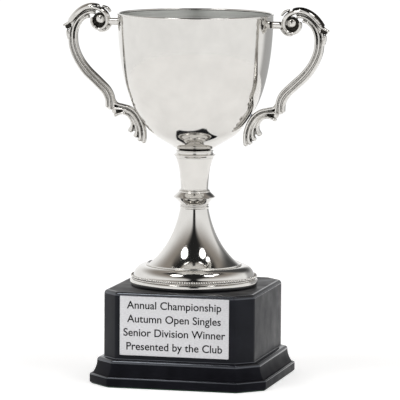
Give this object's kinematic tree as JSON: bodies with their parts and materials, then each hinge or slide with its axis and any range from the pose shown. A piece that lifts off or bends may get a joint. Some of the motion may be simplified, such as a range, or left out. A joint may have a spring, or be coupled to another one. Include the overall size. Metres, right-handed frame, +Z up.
{
  "type": "cup trophy",
  "caption": "Two-handled metal cup on a slender stem and beaded foot, bolted to a stepped square base with cut corners and a front nameplate.",
  "frame": {"origin": "on the resting plane, under the axis of the cup, at the middle of the plinth", "axes": "+Z up along the cup's axis, the nameplate faces -Y, the two handles lie along +X and -X"},
  "size_m": [0.2242, 0.1466, 0.3047],
  "materials": {
    "plated_nickel": "mirror polished nickel plate over spun and cast brass",
    "inside_bowl": "nickel plate with fine spinning marks",
    "moulded_black": "satin black moulding",
    "plate_silver": "brushed silver engraving plate",
    "brass_plain": "turned, unplated",
    "zinc_steel": "zinc plated",
    "iron_weight": "as cast",
    "hardboard": "pressed board",
    "felt": "baize",
    "foam_tape": "double-sided tape"
  },
  "bodies": {
    "root": {"bowl": "plated_nickel", "handle_left": "plated_nickel", "handle_right": "plated_nickel", "handle_screws": "zinc_steel", "handle_washers": "zinc_steel", "bowl_collar": "plated_nickel", "stem_tube": "plated_nickel", "stem_knop": "plated_nickel", "foot_bell": "plated_nickel", "foot_rim": "plated_nickel", "bead_border": "plated_nickel", "foot_spigot": "brass_plain", "tie_rod": "zinc_steel", "bowl_washer": "zinc_steel", "bowl_nut": "zinc_steel", "base_block": "moulded_black", "base_plinth": "moulded_black", "base_weight": "iron_weight", "base_washer": "zinc_steel", "base_nut": "zinc_steel", "base_screws": "zinc_steel", "bottom_cover": "hardboard", "felt_pad": "felt", "plate_tape": "foam_tape", "nameplate": "plate_silver"}
  },
  "joints": []
}
